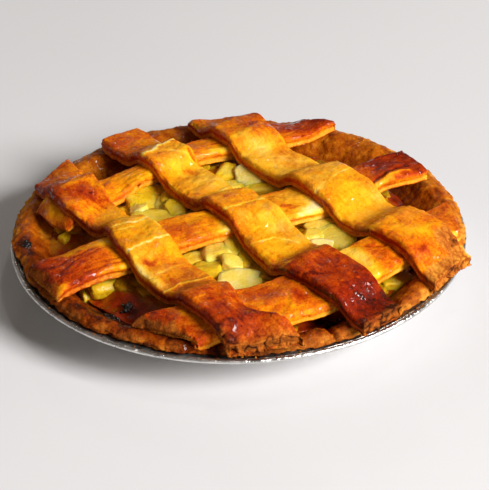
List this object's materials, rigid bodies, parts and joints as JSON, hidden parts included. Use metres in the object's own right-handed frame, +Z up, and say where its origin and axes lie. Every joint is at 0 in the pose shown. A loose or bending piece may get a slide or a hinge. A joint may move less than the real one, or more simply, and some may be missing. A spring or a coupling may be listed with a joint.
{
  "type": "lattice apple pie",
  "caption": "Round pie baked and left in its foil tin, with a rough pastry rim, apple filling and a laid lattice of wide glazed pastry strips.",
  "frame": {"origin": "centre of the underside of the tin, on the surface it stands on", "axes": "+Z up; the pie's front is towards -Y, and the long strips run from back left (-X, +Y) to front right (+X, -Y)"},
  "size_m": [0.2438, 0.2438, 0.0493],
  "materials": {
    "foil": "thin bright aluminium foil, pressed",
    "crust": "dark brown baked shortcrust, crumbly and partly glazed",
    "apple": "moist pale green-yellow stewed apple in its juice",
    "glazed_pastry": "golden to deep brown egg-glazed pastry"
  },
  "bodies": {
    "root": {"foil_tin": "foil", "pastry_case": "crust", "apple_filling": "apple", "lattice_cross_back": "glazed_pastry", "lattice_cross_middle": "glazed_pastry", "lattice_cross_front": "glazed_pastry", "lattice_long_left": "glazed_pastry", "lattice_long_middle": "glazed_pastry", "lattice_long_right": "glazed_pastry"}
  },
  "joints": []
}
